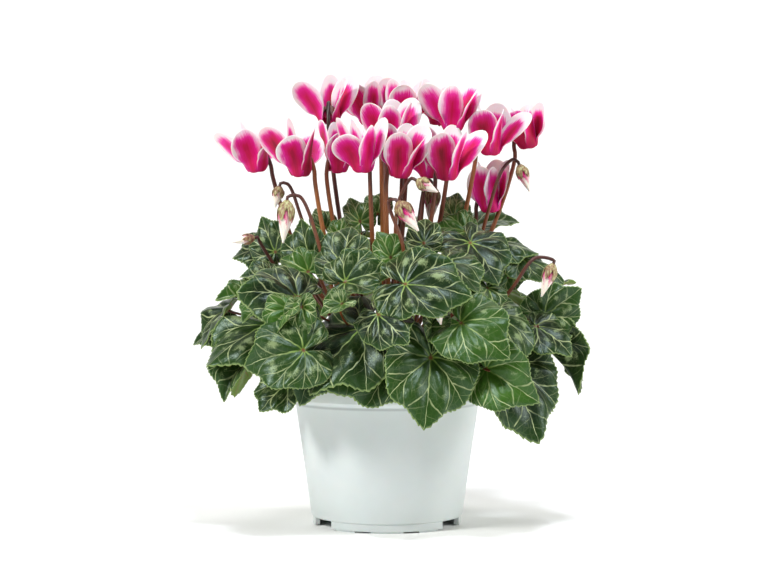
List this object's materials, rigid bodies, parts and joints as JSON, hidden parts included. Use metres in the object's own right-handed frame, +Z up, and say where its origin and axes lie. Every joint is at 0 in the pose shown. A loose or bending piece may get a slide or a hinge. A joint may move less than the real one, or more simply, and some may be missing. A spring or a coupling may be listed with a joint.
{
  "type": "potted cyclamen",
  "caption": "Florist's cyclamen in flower, with marbled heart-shaped leaves, in a round plastic grower's pot.",
  "frame": {"origin": "the middle of the pot's foot, on the ground", "axes": "+Z up along the pot's axis, -Y to the front, from where the plant is seen in the picture"},
  "size_m": [0.2543, 0.2136, 0.2962],
  "materials": {
    "petal": "soft, crimson to white",
    "bud": "soft, cream with pink",
    "leaf": "satin, marbled silver",
    "stalk": "smooth, red-brown",
    "compost": "rough, fibrous",
    "pot_plastic": "satin moulded"
  },
  "bodies": {
    "root": {"bloom_1": "petal", "bloom_2": "petal", "bloom_3": "petal", "bloom_4": "petal", "bloom_5": "petal", "bloom_6": "petal", "bloom_7": "petal", "bloom_8": "petal", "bloom_9": "petal", "bloom_10": "petal", "bloom_11": "petal", "bloom_12": "petal", "bloom_13": "petal", "bloom_14": "petal", "bloom_15": "petal", "bloom_16": "petal", "bloom_17": "petal", "bud_1": "bud", "bud_2": "bud", "bud_3": "bud", "bud_4": "bud", "bud_5": "bud", "bud_6": "bud", "bud_7": "bud", "bud_8": "bud", "bud_9": "bud", "leaves_1": "leaf", "leaves_2": "leaf", "leaves_3": "leaf", "leaves_4": "leaf", "leaves_5": "leaf", "leaves_6": "leaf", "leaves_7": "leaf", "leaves_8": "leaf", "leaves_9": "leaf", "leaves_10": "leaf", "leaves_11": "leaf", "leaves_12": "leaf", "leaves_13": "leaf", "leaves_14": "leaf", "leaves_15": "leaf", "leaves_16": "leaf", "leaves_17": "leaf", "leaves_18": "leaf", "leaves_19": "leaf", "leaves_20": "leaf", "leaves_21": "leaf", "leaves_22": "leaf", "leaves_23": "leaf", "leaves_24": "leaf", "leaves_25": "leaf", "pot": "pot_plastic", "soil": "compost", "tuber_and_flower_stalks": "stalk"}
  },
  "joints": []
}
